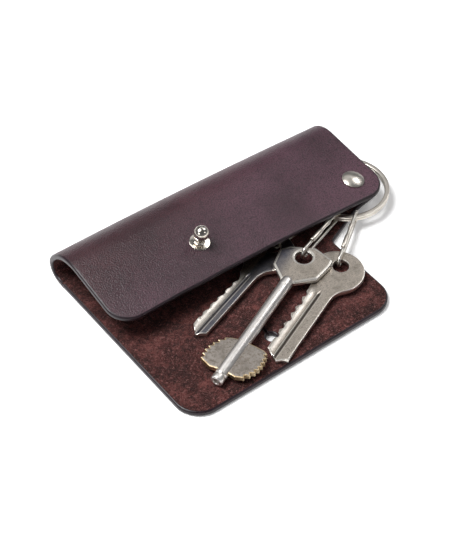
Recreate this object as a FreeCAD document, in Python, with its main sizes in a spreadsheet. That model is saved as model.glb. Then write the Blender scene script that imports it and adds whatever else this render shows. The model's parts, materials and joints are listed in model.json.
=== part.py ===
import FreeCAD, Part
import math
import os
import Sketcher

# A leather key organiser: a folded leather case with a riveted corner, a split ring held
# round the rivet, three spring clips on the ring and a key on each clip.
# X runs along the case towards the ring, Y towards the folded spine, Z up.
# The origin is on the flat underside of the back panel. All lengths are millimetres.

os.makedirs("parts", exist_ok=True)
doc = FreeCAD.newDocument("key_organiser")
Vector = FreeCAD.Vector

# ---------------------------------------------------------------- driving sizes
SIZES = {
    "leather": 2.2,
    "case_left": -64.0,
    "case_right": 62.3,
    "fold_back": 44.5,
    "spine_start": 36.0,
    "crease": -9.0,
    "flap_front": -45.0,
    "flap_right": 29.7,
    "flap_corner": 10.0,
    "notch_radius": 2.5,
    "cover_front_y": -3.0,
    "cover_corner": 9.5,
    "slit": 1.6,
    "rivet_x": 51.7,
    "rivet_y": 7.2,
    "rivet_radius": 4.4,
    "post_radius": 1.6,
    "stud_x": -18.8,
    "stud_y": 11.65,
    "button_hole_y": -31.0,
    "button_hole_radius": 1.9,
    "ring_x": 50.2,
    "ring_y": 10.0,
    "ring_inner": 15.7,
    "ring_outer": 17.5,
    "ring_low": 4.0,
    "ring_height": 2.2,
    "wire_radius": 0.65,
    "loop_radius": 2.2,
    "clip_length": 24.0,
    "gate_start": 5.9,
    "gate_end": 19.4,
    "gate_radius": 0.95,
    "pin_radius": 0.35,
    "key_thickness": 2.0,
    "bow_radius": 10.2,
    "key_hole_radius": 3.1,
    "key_reach": 50.0,
    "shank_radius": 2.35,
    "lever_reach": 65.7,
}

sheet = doc.addObject("Spreadsheet::Sheet", "sizes")
for row, (alias, value) in enumerate(SIZES.items(), start=1):
    sheet.set("A%d" % row, alias)
    sheet.set("B%d" % row, str(value))
    sheet.setAlias("B%d" % row, alias)
doc.recompute()


def size(alias):
    return float(sheet.get(alias))


# ---------------------------------------------------------------- small helpers
def new_body(label):
    body = doc.addObject("PartDesign::Body", label)
    body.Label = label
    return body


def new_sketch(body, plane, name, offset=0.0):
    """An empty sketch on one of the body's origin planes, moved along the plane's normal."""
    sketch = body.newObject("Sketcher::SketchObject", name)
    support = [f for f in body.Origin.OriginFeatures if f.Role == plane][0]
    sketch.AttachmentSupport = [(support, "")]
    sketch.MapMode = "FlatFace"
    sketch.AttachmentOffset = FreeCAD.Placement(Vector(0, 0, offset), FreeCAD.Rotation())
    return sketch


def polygon(sketch, points):
    for start, end in zip(points, points[1:] + points[:1]):
        sketch.addGeometry(Part.LineSegment(Vector(*start, 0), Vector(*end, 0)))


def line(sketch, start, end):
    sketch.addGeometry(Part.LineSegment(Vector(*start, 0), Vector(*end, 0)))


def arc(sketch, centre, radius, from_deg, to_deg):
    """An arc running anticlockwise from one angle to the other."""
    circle = Part.Circle(Vector(*centre, 0), Vector(0, 0, 1), radius)
    sketch.addGeometry(Part.ArcOfCircle(circle, math.radians(from_deg), math.radians(to_deg)))


def circle(sketch, centre, radius_alias, extra=0.0):
    """A circle whose radius is a sheet size plus an allowance."""
    index = sketch.addGeometry(
        Part.Circle(Vector(*centre, 0), Vector(0, 0, 1), size(radius_alias) + extra)
    )
    number = sketch.addConstraint(
        Sketcher.Constraint("Radius", index, size(radius_alias) + extra)
    )
    sketch.setExpression("Constraints[%d]" % number, "sizes.%s + %g" % (radius_alias, extra))


def pad(body, sketch, name, length_expression, both_ways=False):
    feature = body.newObject("PartDesign::Pad", name)
    feature.Profile = sketch
    feature.setExpression("Length", length_expression)
    feature.Midplane = both_ways
    return feature


def pocket(body, sketch, name, depth=None, reverse=False, both_ways=False):
    """A pocket of a given depth, or right through the body when no depth is given."""
    feature = body.newObject("PartDesign::Pocket", name)
    feature.Profile = sketch
    feature.Reversed = reverse
    feature.Midplane = both_ways
    if depth is None:
        feature.Type = "ThroughAll"
    else:
        feature.Length = depth
    return feature


def revolve(body, sketch, name):
    """A full turn of the sketch round its own vertical axis."""
    feature = body.newObject("PartDesign::Revolution", name)
    feature.Profile = sketch
    feature.ReferenceAxis = (sketch, ["V_Axis"])
    feature.Angle = 360.0
    return feature


def on_circle(centre, radius, degrees):
    angle = math.radians(degrees)
    return (centre[0] + radius * math.cos(angle), centre[1] + radius * math.sin(angle))


# ---------------------------------------------------------------- flat leather
def make_back_panel():
    """The flat back of the case, cut away at the front right below the rivet."""
    left, right = size("case_left"), size("case_right")
    crease, top = size("crease"), size("spine_start")
    notch_radius = size("notch_radius")
    notch = (size("flap_right") + notch_radius, crease)
    steep, gentle = 24.0, 9.7
    corner = 3.8
    corner_centre = (right - corner, size("rivet_y") - 0.7)
    slope_start = on_circle(notch, notch_radius, 90 + steep)
    slope_end = on_circle(corner_centre, corner, 270 + gentle)
    # the steep and the gentle edge meet here
    run = slope_end[0] - slope_start[0]
    fall = slope_end[1] - slope_start[1]
    steep_rise, gentle_rise = math.tan(math.radians(steep)), math.tan(math.radians(gentle))
    along = (fall - gentle_rise * run) / (steep_rise - gentle_rise)
    bend = (slope_start[0] + along, slope_start[1] + along * steep_rise)
    body = new_body("back_panel")
    sketch = new_sketch(body, "XY_Plane", "back_outline")
    line(sketch, (left, crease), (notch[0] - notch_radius, crease))
    arc(sketch, notch, notch_radius, 90 + steep, 180)
    line(sketch, slope_start, bend)
    line(sketch, bend, slope_end)
    arc(sketch, corner_centre, corner, 270 + gentle, 360)
    line(sketch, (right, corner_centre[1]), (right, top))
    line(sketch, (right, top), (left, top))
    line(sketch, (left, top), (left, crease))
    pad(body, sketch, "back_pad", "sizes.leather")
    recess = new_sketch(body, "XY_Plane", "rivet_recess")
    circle(recess, (size("rivet_x"), size("rivet_y")), "rivet_radius", 0.1)
    pocket(body, recess, "rivet_recess_cut", depth=0.9, reverse=True)
    hole = new_sketch(body, "XY_Plane", "post_hole")
    circle(hole, (size("rivet_x"), size("rivet_y")), "post_radius", 0.05)
    pocket(body, hole, "post_hole_cut", reverse=True)
    return body


def make_closing_flap():
    """The flap in front of the crease: rounded front corners and a slit button hole."""
    left, right = size("case_left"), size("flap_right")
    front = size("flap_front")
    back = size("crease") - 0.3
    corner = size("flap_corner")
    body = new_body("closing_flap")
    sketch = new_sketch(body, "XY_Plane", "flap_outline")
    line(sketch, (left, back), (left, front + corner))
    arc(sketch, (left + corner, front + corner), corner, 180, 270)
    line(sketch, (left + corner, front), (right - corner, front))
    arc(sketch, (right - corner, front + corner), corner, 270, 360)
    line(sketch, (right, front + corner), (right, back))
    line(sketch, (right, back), (left, back))
    pad(body, sketch, "flap_pad", "sizes.leather")
    hole = new_sketch(body, "XY_Plane", "button_hole")
    circle(hole, (size("stud_x"), size("button_hole_y")), "button_hole_radius")
    pocket(body, hole, "button_hole_cut", reverse=True)
    slit_half, slit_length = 0.3, 5.0
    slit_start = size("button_hole_y") + size("button_hole_radius") - 0.5
    slit = new_sketch(body, "XY_Plane", "button_slit")
    polygon(
        slit,
        [
            (size("stud_x") - slit_half, slit_start),
            (size("stud_x") + slit_half, slit_start),
            (size("stud_x") + slit_half, slit_start + slit_length),
            (size("stud_x") - slit_half, slit_start + slit_length),
        ],
    )
    pocket(body, slit, "button_slit_cut", reverse=True)
    return body


# ---------------------------------------------------------------- folded cover
# Each section of the folded leather is a small back fold, a larger crown and a straight
# slope down to the front edge:
# (x, fold radius, crown radius, where the fold meets the crown in degrees, slope in degrees)
COVER_SECTIONS = [
    (size("case_left"), 6.5, 18.0, 30.0, 12.0),
    (4.0, 6.3, 17.1, 31.0, 10.0),
    (size("case_right"), 5.0, 12.4, 40.0, 6.0),
]


def cover_section(body, name, section):
    """One closed band of leather thickness, drawn across the case at a given x."""
    x, fold_radius, crown_radius, join, slope = section
    thick = size("leather")
    start = size("spine_start")
    fold = (size("fold_back") - fold_radius, fold_radius)
    crown = on_circle(fold, fold_radius - crown_radius, join)
    crown_end = 90 + slope
    outer_top = on_circle(crown, crown_radius, crown_end)
    inner_top = on_circle(crown, crown_radius - thick, crown_end)
    reach = (outer_top[0] - size("cover_front_y")) / math.cos(math.radians(slope))
    outer_front = on_circle(outer_top, reach, 180 + slope)
    inner_front = on_circle(inner_top, reach, 180 + slope)
    sketch = new_sketch(body, "YZ_Plane", name, x)
    line(sketch, (start, 0), (fold[0], 0))
    arc(sketch, fold, fold_radius, -90, join)
    arc(sketch, crown, crown_radius, join, crown_end)
    line(sketch, outer_top, outer_front)
    line(sketch, outer_front, inner_front)
    line(sketch, inner_front, inner_top)
    arc(sketch, crown, crown_radius - thick, join, crown_end)
    arc(sketch, fold, fold_radius - thick, -90, join)
    line(sketch, (fold[0], thick), (start, thick))
    line(sketch, (start, thick), (start, 0))
    return sketch


def cover_loft(label):
    body = new_body(label)
    sketches = [
        cover_section(body, "%s_section_%d" % (label, number), section)
        for number, section in enumerate(COVER_SECTIONS)
    ]
    loft = body.newObject("PartDesign::AdditiveLoft", label + "_loft")
    loft.Profile = sketches[0]
    loft.Sections = sketches[1:]
    loft.Ruled = False
    return body


# The cover lifts about a slanting line from beside the rivet to the left end of the spine.
LIFT_RIGHT = (42.0, -3.0)
LIFT_LEFT = (-64.0, 31.0)


def lift_line_offset(distance):
    """Two points far out on the line, moved sideways: positive is towards the spine."""
    along = Vector(LIFT_LEFT[0] - LIFT_RIGHT[0], LIFT_LEFT[1] - LIFT_RIGHT[1], 0)
    along.normalize()
    side = Vector(-along.y, along.x, 0) * -distance
    right = Vector(*LIFT_RIGHT, 0) + side - along * 60
    left = Vector(*LIFT_LEFT, 0) + side + along * 60
    return (right.x, right.y), (left.x, left.y)


def round_corner(body, name, side):
    """Round off one front corner of the cover: side is 1 at the right, -1 at the left."""
    corner = size("cover_corner")
    end = size("case_right") if side > 0 else size("case_left")
    centre = (end - side * corner, size("cover_front_y") + corner)
    end_x = end + side * 20.0
    low_y = centre[1] - 30.0
    sketch = new_sketch(body, "XY_Plane", name)
    if side > 0:
        arc(sketch, centre, corner, 270, 360)
    else:
        arc(sketch, centre, corner, 180, 270)
    line(sketch, (end, centre[1]), (end_x, centre[1]))
    line(sketch, (end_x, centre[1]), (end_x, low_y))
    line(sketch, (end_x, low_y), (centre[0], low_y))
    line(sketch, (centre[0], low_y), (centre[0], centre[1] - corner))
    pocket(body, sketch, name + "_pocket", both_ways=True)


def make_cover_sleeve():
    """The spine and the riveted corner, which stay still."""
    body = cover_loft("cover_sleeve")
    right, left = lift_line_offset(size("slit") / 2)
    low = size("cover_front_y") - 60
    front = new_sketch(body, "XY_Plane", "sleeve_front_cut")
    polygon(front, [right, left, (left[0], low), (right[0], low)])
    pocket(body, front, "sleeve_front_pocket", both_ways=True)
    round_corner(body, "sleeve_corner", 1)
    hole = new_sketch(body, "XY_Plane", "sleeve_post_hole", 5.0)
    circle(hole, (size("rivet_x"), size("rivet_y")), "post_radius", 0.4)
    pocket(body, hole, "sleeve_post_pocket", reverse=True)
    return body


def make_cover_front():
    """The front of the cover, which lifts and carries the stud."""
    body = cover_loft("cover_front")
    right, left = lift_line_offset(-size("slit") / 2)
    far = size("fold_back") + 60
    back = new_sketch(body, "XY_Plane", "front_back_cut")
    polygon(back, [right, (right[0], far), (left[0], far), left])
    pocket(body, back, "front_back_pocket", both_ways=True)
    round_corner(body, "front_corner", -1)
    hole = new_sketch(body, "XY_Plane", "stud_screw_hole", 5.0)
    circle(hole, (size("stud_x"), size("stud_y")), "post_radius", 0.4)
    pocket(body, hole, "stud_screw_pocket", reverse=True)
    return body


def cover_point(x, y, clearance):
    """The outside and inside points of the cover above (x, y) and the outward normal."""
    whole = doc.getObject("cover_sleeve_loft").Shape
    ray = Part.makeLine(Vector(x, y, 5), Vector(x, y, 40))
    heights = sorted(v.Z for v in whole.common(ray).Vertexes)
    inner, outer = heights[0], heights[-1]
    step = 0.5

    def top_height(px, py):
        probe = Part.makeLine(Vector(px, py, 5), Vector(px, py, 40))
        return max(v.Z for v in whole.common(probe).Vertexes)

    slope_x = (top_height(x + step, y) - top_height(x - step, y)) / (2 * step)
    slope_y = (top_height(x, y + step) - top_height(x, y - step)) / (2 * step)
    normal = Vector(-slope_x, -slope_y, 1)
    normal.normalize()
    return (
        Vector(x, y, outer) + normal * clearance,
        Vector(x, y, inner) - normal * clearance,
        normal,
    )


# ---------------------------------------------------------------- rivet and stud
def make_rivet_post():
    """The lower half of the rivet: a thin head let into the leather and a straight post."""
    top, inner, normal = cover_point(size("rivet_x"), size("rivet_y"), 0.0)
    head_height, head_low = 0.7, 0.15
    head, post = size("rivet_radius"), size("post_radius")
    post_top = inner.z + 0.6
    body = new_body("rivet_post")
    sketch = new_sketch(body, "XZ_Plane", "post_profile")
    polygon(
        sketch,
        [
            (0, head_low),
            (head, head_low),
            (head, head_low + head_height),
            (post, head_low + head_height),
            (post, post_top),
            (0, post_top),
        ],
    )
    revolve(body, sketch, "post_turn")
    body.Placement.Base = Vector(size("rivet_x"), size("rivet_y"), 0)
    return body


def make_rivet_cap():
    """The domed upper cap, with a spigot that meets the post inside the leather."""
    surface, inner, normal = cover_point(size("rivet_x"), size("rivet_y"), 0.12)
    radius, rim, dome = size("rivet_radius"), 0.35, 1.15
    spigot = 1.35
    spigot_low = -size("leather") + 0.95
    sphere = (radius ** 2 + dome ** 2) / (2 * dome)
    half = math.degrees(math.asin(radius / sphere))
    body = new_body("rivet_cap")
    sketch = new_sketch(body, "XZ_Plane", "cap_profile")
    line(sketch, (0, spigot_low), (spigot, spigot_low))
    line(sketch, (spigot, spigot_low), (spigot, 0))
    line(sketch, (spigot, 0), (radius, 0))
    line(sketch, (radius, 0), (radius, rim))
    arc(sketch, (0, rim + dome - sphere), sphere, 90 - half, 90)
    line(sketch, (0, rim + dome), (0, spigot_low))
    revolve(body, sketch, "cap_turn")
    body.Placement = FreeCAD.Placement(surface, FreeCAD.Rotation(Vector(0, 0, 1), normal))
    return body


def make_stud_head():
    """The turned stud: a flange on the cover, a waisted neck and a ball."""
    surface, inner, normal = cover_point(size("stud_x"), size("stud_y"), 0.1)
    flange, flange_height = 3.9, 0.9
    neck, neck_height = 1.7, 2.1
    ball = 2.95
    ball_centre = flange_height + neck_height + math.sqrt(ball ** 2 - neck ** 2)
    ball_start = math.degrees(math.asin(-math.sqrt(ball ** 2 - neck ** 2) / ball))
    body = new_body("stud_head")
    sketch = new_sketch(body, "XZ_Plane", "stud_profile")
    line(sketch, (0, 0), (flange, 0))
    line(sketch, (flange, 0), (flange, flange_height - 0.4))
    line(sketch, (flange, flange_height - 0.4), (flange - 0.8, flange_height))
    line(sketch, (flange - 0.8, flange_height), (neck, flange_height))
    line(sketch, (neck, flange_height), (neck, flange_height + neck_height))
    arc(sketch, (0, ball_centre), ball, ball_start, 90)
    line(sketch, (0, ball_centre + ball), (0, 0))
    revolve(body, sketch, "stud_turn")
    body.Placement = FreeCAD.Placement(surface, FreeCAD.Rotation(Vector(0, 0, 1), normal))
    return body


def make_stud_screw():
    """The flat-headed screw that holds the stud from inside the cover."""
    surface, inner, normal = cover_point(size("stud_x"), size("stud_y"), 0.1)
    length = (surface - inner).dot(normal) - 0.02
    head, head_height, shank, slot = 3.4, 0.7, 1.5, 0.5
    body = new_body("stud_screw")
    sketch = new_sketch(body, "XZ_Plane", "screw_profile")
    polygon(
        sketch,
        [
            (0, -length - head_height),
            (head, -length - head_height),
            (head, -length),
            (shank, -length),
            (shank, -0.02),
            (0, -0.02),
        ],
    )
    revolve(body, sketch, "screw_turn")
    driver = new_sketch(body, "XY_Plane", "screw_slot", -length - head_height)
    polygon(
        driver,
        [(-head, -slot / 2), (head, -slot / 2), (head, slot / 2), (-head, slot / 2)],
    )
    pocket(body, driver, "screw_slot_cut", depth=0.35, reverse=True)
    body.Placement = FreeCAD.Placement(surface, FreeCAD.Rotation(Vector(0, 0, 1), normal))
    return body


# ---------------------------------------------------------------- split ring
def make_split_ring():
    """Two flat coils of one wire, drawn as a ring with a fine groove between the coils."""
    inner, outer = size("ring_inner"), size("ring_outer")
    low, height = size("ring_low"), size("ring_height")
    middle = low + height / 2
    groove = 0.12
    body = new_body("split_ring")
    sketch = new_sketch(body, "XZ_Plane", "ring_section")
    polygon(
        sketch,
        [
            (inner, low),
            (outer, low),
            (outer, middle - groove),
            (outer - groove, middle),
            (outer, middle + groove),
            (outer, low + height),
            (inner, low + height),
        ],
    )
    revolve(body, sketch, "ring_turn")
    body.Placement.Base = Vector(size("ring_x"), size("ring_y"), 0)
    return body


# ---------------------------------------------------------------- spring clips
# name: (place on the ring in degrees, direction towards the key in degrees, pitch in degrees)
CLIPS = {
    "left": (195.4, 188.0, 0.0),
    "centre": (218.3, 201.1, 4.0),
    "right": (244.2, 215.2, 0.0),
}
LOOP_MIDDLE = size("leather") + 0.05 + size("wire_radius") + size("loop_radius")
RING_RADIUS = (size("ring_inner") + size("ring_outer")) / 2


def clip_placement(name):
    """The clip's own x runs from the ring to the key and its z is up."""
    place, direction, pitch = CLIPS[name]
    x, y = on_circle((size("ring_x"), size("ring_y")), RING_RADIUS, place)
    turn = FreeCAD.Rotation(Vector(0, 0, 1), direction)
    tilt = FreeCAD.Rotation(Vector(0, 1, 0), -pitch)
    return FreeCAD.Placement(Vector(x, y, LOOP_MIDDLE), turn.multiply(tilt))


PIN_X = size("gate_start") + 1.4
TONGUE_END = PIN_X + 0.9


def make_clip_frame(name):
    """A wire loop standing on edge, open on its upper leg where the gate closes it."""
    label = "clip_%s_frame" % name
    radius, length = size("loop_radius"), size("clip_length")
    body = new_body(label)
    path = new_sketch(body, "XZ_Plane", label + "_path")
    line(path, (TONGUE_END, radius), (0, radius))
    arc(path, (0, 0), radius, 90, 270)
    line(path, (0, -radius), (length, -radius))
    arc(path, (length, 0), radius, -90, 90)
    line(path, (length, radius), (size("gate_end") + 0.2, radius))
    section = new_sketch(body, "YZ_Plane", label + "_wire", TONGUE_END)
    circle(section, (0, radius), "wire_radius")
    pipe = body.newObject("PartDesign::AdditivePipe", label + "_pipe")
    pipe.Profile = section
    pipe.Spine = path
    hole = new_sketch(body, "XZ_Plane", label + "_pin_hole")
    circle(hole, (PIN_X, radius), "pin_radius")
    pocket(body, hole, label + "_pin_cut", both_ways=True)
    body.Placement = clip_placement(name)
    return body


def make_clip_gate(name):
    """The thicker gate sleeve, forked over the frame at its pivot end."""
    label = "clip_%s_gate" % name
    radius = size("loop_radius")
    start, end = size("gate_start"), size("gate_end")
    fork_half, fork_depth = size("wire_radius") + 0.06, TONGUE_END - start + 0.35
    tall = 2.0
    body = new_body(label)
    section = new_sketch(body, "YZ_Plane", label + "_section", start)
    circle(section, (0, radius), "gate_radius")
    pad(body, section, label + "_pad", "sizes.gate_end - sizes.gate_start")
    fork = new_sketch(body, "XY_Plane", label + "_fork", radius)
    polygon(
        fork,
        [
            (start - 1, -fork_half),
            (start + fork_depth, -fork_half),
            (start + fork_depth, fork_half),
            (start - 1, fork_half),
        ],
    )
    pocket(body, fork, label + "_fork_cut", depth=2 * tall, both_ways=True)
    hole = new_sketch(body, "XZ_Plane", label + "_pin_hole")
    circle(hole, (PIN_X, radius), "pin_radius", 0.05)
    pocket(body, hole, label + "_pin_cut", both_ways=True)
    body.Placement = clip_placement(name)
    return body


def make_clip_pin(name):
    """The pivot pin, riveted over just outside the gate's cheeks."""
    label = "clip_%s_pin" % name
    body = new_body(label)
    section = new_sketch(body, "XZ_Plane", label + "_section")
    circle(section, (PIN_X, size("loop_radius")), "pin_radius")
    pad(body, section, label + "_pad", "2 * sizes.gate_radius + 0.1", both_ways=True)
    body.Placement = clip_placement(name)
    return body


# ---------------------------------------------------------------- keys
# name of the clip: (direction of the key in degrees, pitch towards the tip in degrees,
#                    hole's middle in the clip's own axes: beyond the wire's end, to the side, up)
KEY_POSES = {
    "left": (198.5, 1.5, (0.6, 0.2, -0.4)),
    "centre": (203.3, 1.95, (1.4, 1.3, -0.13)),
    "right": (202.8, 1.5, (1.1, 1.2, -0.4)),
}


def key_placement(name):
    """The key's own x runs from its hole to its tip; its origin is the hole's centre."""
    direction, pitch, (beyond, aside, height) = KEY_POSES[name]
    reach = size("clip_length") + size("loop_radius") + beyond
    base = clip_placement(name).multVec(Vector(reach, aside, height))
    turn = FreeCAD.Rotation(Vector(0, 0, 1), direction)
    tilt = FreeCAD.Rotation(Vector(0, 1, 0), pitch)
    return FreeCAD.Placement(base, turn.multiply(tilt))


BOW_SHIFT = 3.0
NECK_RADIUS = 8.0
# key: (blade's cut side, its straight side, middle of the groove, height of the teeth,
#       depth of each cut)
BLADES = {
    "left": (3.2, 3.7, -0.6, 0.5, [1.7, 1.4, 1.3, 0.9, 0.8, 0.6]),
    "right": (5.3, 4.2, -2.4, 0.9, [0.9, 1.4, 0.9, 1.5, 1.0, 1.3]),
}


def neck_curve(half):
    """Where a neck of NECK_RADIUS leaves the bow (degrees) and where it meets the blade."""
    span = size("bow_radius") + NECK_RADIUS
    rise = half + NECK_RADIUS
    return math.degrees(math.asin(rise / span)), BOW_SHIFT + math.sqrt(span ** 2 - rise ** 2)


def blade_cuts(start, low, tooth, depths):
    """V cuts along one side of the blade, one for each depth, from shoulder to tip."""
    pitch = 4.4
    points = []
    for number, depth in enumerate(depths):
        middle = start + 3.4 + number * pitch
        points.append((middle - 1.6, -low + depth - tooth))
        points.append((middle - 0.5, -low + depth))
        points.append((middle + 0.5, -low + depth))
        points.append((middle + 1.6, -low + depth - tooth))
    return points


def make_cylinder_key(name):
    """A flat key: round bow with a hole, a curved neck and a cut blade."""
    label = "cylinder_key_" + name
    low, high, groove_y, tooth, depths = BLADES[name]
    bow, reach = size("bow_radius"), size("key_reach")
    high_turn, high_start = neck_curve(high)
    low_turn, low_start = neck_curve(low)
    body = new_body(label)
    sketch = new_sketch(body, "XY_Plane", label + "_outline")
    arc(sketch, (BOW_SHIFT, 0), bow, high_turn, 360 - low_turn)
    arc(sketch, (low_start, -low - NECK_RADIUS), NECK_RADIUS, 90, 180 - low_turn)
    outline = [(low_start, -low)]
    outline += blade_cuts(low_start, low, tooth, depths)
    outline += [(reach - 2.5, -low + 0.4), (reach + 1.3, 0.5), (reach, 1.9)]
    outline += [(reach - 1.2, high), (high_start, high)]
    for start, end in zip(outline, outline[1:]):
        line(sketch, start, end)
    arc(sketch, (high_start, high + NECK_RADIUS), NECK_RADIUS, 180 + high_turn, 270)
    pad(body, sketch, label + "_pad", "sizes.key_thickness", both_ways=True)
    hole = new_sketch(body, "XY_Plane", label + "_hole")
    circle(hole, (0, 0), "key_hole_radius")
    pocket(body, hole, label + "_hole_cut", both_ways=True)
    groove_half, groove_depth = 0.8, 0.5
    groove = new_sketch(body, "XY_Plane", label + "_groove", size("key_thickness") / 2)
    polygon(
        groove,
        [
            (low_start, groove_y - groove_half),
            (reach + 2, groove_y - groove_half),
            (reach + 2, groove_y + groove_half),
            (low_start, groove_y + groove_half),
        ],
    )
    pocket(body, groove, label + "_groove_cut", depth=groove_depth)
    body.Placement = key_placement(name)
    return body


LEVER_BOW_END = 13.5
BIT_START, BIT_END = 45.6, 61.4


def make_lever_bow():
    """The flat many-sided bow of the lever key, with a large hole."""
    near_side = [(-2.6, -7.0), (0.5, -9.8), (8.4, -8.5), (LEVER_BOW_END, -2.6)]
    far_side = [(LEVER_BOW_END, 2.5), (7.5, 9.3), (-0.5, 10.6), (-3.8, 10.2), (-6.3, 1.8)]
    body = new_body("lever_key_bow")
    sketch = new_sketch(body, "XY_Plane", "lever_bow_outline")
    polygon(sketch, near_side + far_side)
    pad(body, sketch, "lever_bow_pad", "sizes.key_thickness + 0.1", both_ways=True)
    hole = new_sketch(body, "XY_Plane", "lever_bow_hole")
    circle(hole, (0, 0), "key_hole_radius", 0.1)
    pocket(body, hole, "lever_bow_hole_cut", both_ways=True)
    body.Placement = key_placement("centre")
    return body


def make_lever_shank():
    """The round shank, with a collar at the bow and a step at the tip."""
    radius, reach = size("shank_radius"), size("lever_reach")
    body = new_body("lever_key_shank")
    sketch = new_sketch(body, "XZ_Plane", "shank_profile")
    polygon(
        sketch,
        [
            (LEVER_BOW_END, 0),
            (LEVER_BOW_END, radius + 0.1),
            (LEVER_BOW_END + 2.0, radius + 0.1),
            (LEVER_BOW_END + 2.4, radius),
            (reach - 2.6, radius),
            (reach - 2.6, radius - 0.3),
            (reach - 2.2, radius - 0.3),
            (reach - 2.2, radius),
            (reach - 0.5, radius),
            (reach, radius - 0.5),
            (reach, 0),
        ],
    )
    turn = body.newObject("PartDesign::Revolution", "shank_turn")
    turn.Profile = sketch
    turn.ReferenceAxis = (sketch, ["H_Axis"])
    turn.Angle = 360.0
    half = size("key_thickness") / 2 + 0.01
    slot = new_sketch(body, "XZ_Plane", "shank_slot")
    polygon(
        slot,
        [
            (BIT_START - 0.01, -half),
            (BIT_END + 0.01, -half),
            (BIT_END + 0.01, half),
            (BIT_START - 0.01, half),
        ],
    )
    pocket(body, slot, "shank_slot_cut", both_ways=True)
    body.Placement = key_placement("centre")
    return body


def bit_lobe(side, start, end, peak_at, peak, teeth):
    """One lobe of the bit as points: pointed teeth along a bulging edge, side is +1 or -1."""
    foot, fall, dip = 1.5, 0.052, 1.2
    step = (end - start) / teeth

    def reach(along):
        return peak - fall * (along - peak_at) ** 2

    points = [(BIT_START, side * foot)]
    for number in range(teeth):
        left = start + number * step
        points.append((left, side * (reach(left) - dip)))
        points.append((left + 0.45 * step, side * reach(left + 0.45 * step)))
        points.append((left + 0.65 * step, side * reach(left + 0.65 * step)))
    points += [(end, side * (reach(end) - dip)), (BIT_END, side * 5.0)]
    return points + [(BIT_END - 0.6, side * foot)]


def make_lever_bit():
    """The flat toothed bit, brazed into a slot through the shank near its tip."""
    body = new_body("lever_key_bit")
    left_lobe = bit_lobe(-1, 46.4, 60.2, 56.0, 10.3, 7)
    right_lobe = bit_lobe(1, 46.2, 61.0, 52.0, 11.3, 8)
    outline = left_lobe + right_lobe[::-1]
    sketch = new_sketch(body, "XY_Plane", "bit_outline")
    polygon(sketch, outline)
    pad(body, sketch, "bit_pad", "sizes.key_thickness", both_ways=True)
    body.Placement = key_placement("centre")
    return body


# ---------------------------------------------------------------- build and export
def build_all():
    parts = [make_back_panel(), make_closing_flap(), make_cover_sleeve(), make_cover_front()]
    doc.recompute()
    parts += [make_rivet_post(), make_rivet_cap(), make_stud_head(), make_stud_screw()]
    parts.append(make_split_ring())
    for name in CLIPS:
        parts += [make_clip_frame(name), make_clip_gate(name), make_clip_pin(name)]
    parts += [make_cylinder_key("left"), make_cylinder_key("right")]
    parts += [make_lever_bow(), make_lever_shank(), make_lever_bit()]
    doc.recompute()
    return parts


def check_objects():
    for item in doc.Objects:
        if "Invalid" in item.State or "Error" in item.State:
            raise RuntimeError("%s did not build: %s" % (item.Label, item.State))


def export_parts(parts):
    for part in parts:
        shape = part.Shape
        if shape.isNull() or not shape.isValid():
            raise RuntimeError("%s has no valid shape" % part.Label)
        box = shape.BoundBox
        print(
            "%-20s volume %9.2f solids %d  x %7.2f %7.2f  y %7.2f %7.2f  z %6.2f %6.2f"
            % (part.Label, shape.Volume, len(shape.Solids), box.XMin, box.XMax,
               box.YMin, box.YMax, box.ZMin, box.ZMax)
        )
        shape.exportStep("parts/%s.step" % part.Label)


def print_pivots():
    for name in CLIPS:
        clip = clip_placement(name)
        key = key_placement(name)
        pin = clip.multVec(Vector(PIN_X, 0, size("loop_radius")))
        print("pivots", name, "clip", clip.Base, "pin", pin, clip.Rotation.multVec(Vector(0, 1, 0)),
              "key", key.Base, key.Rotation.multVec(Vector(0, 0, 1)))


all_parts = build_all()
check_objects()
export_parts(all_parts)
print_pivots()
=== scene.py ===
import json
import math

import bmesh
import bpy
from mathutils import Matrix, Vector
from mathutils.geometry import delaunay_2d_cdt


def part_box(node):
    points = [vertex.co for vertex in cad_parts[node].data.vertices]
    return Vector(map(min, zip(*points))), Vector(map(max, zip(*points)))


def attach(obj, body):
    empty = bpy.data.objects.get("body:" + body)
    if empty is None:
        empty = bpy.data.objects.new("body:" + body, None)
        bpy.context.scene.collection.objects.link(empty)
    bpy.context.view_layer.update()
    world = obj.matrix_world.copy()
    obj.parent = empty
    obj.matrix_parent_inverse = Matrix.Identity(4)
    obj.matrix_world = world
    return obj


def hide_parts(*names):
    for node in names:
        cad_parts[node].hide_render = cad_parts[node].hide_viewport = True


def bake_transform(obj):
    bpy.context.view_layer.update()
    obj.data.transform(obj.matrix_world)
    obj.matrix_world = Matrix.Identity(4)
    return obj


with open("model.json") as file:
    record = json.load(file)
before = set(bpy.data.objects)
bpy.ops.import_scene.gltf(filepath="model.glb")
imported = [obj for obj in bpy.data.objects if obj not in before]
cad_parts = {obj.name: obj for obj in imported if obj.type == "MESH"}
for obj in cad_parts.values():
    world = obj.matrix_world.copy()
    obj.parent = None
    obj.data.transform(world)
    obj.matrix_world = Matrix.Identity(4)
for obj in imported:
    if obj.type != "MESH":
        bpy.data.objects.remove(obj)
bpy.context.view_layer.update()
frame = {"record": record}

# Leather key organiser. Metres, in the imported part's frame: X along the case towards the
# split ring, Y towards the folded spine, Z up.
MM = 0.001


# ---------------- camera, floor and light
def aimed(name, data, place, direction):
    """A camera or light at place, in metres, that looks along direction."""
    thing = bpy.data.objects.new(name, data)
    thing.location = place
    thing.rotation_mode = "QUATERNION"
    thing.rotation_quaternion = direction.to_track_quat("-Z", "Y")
    bpy.context.collection.objects.link(thing)
    return thing


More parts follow.
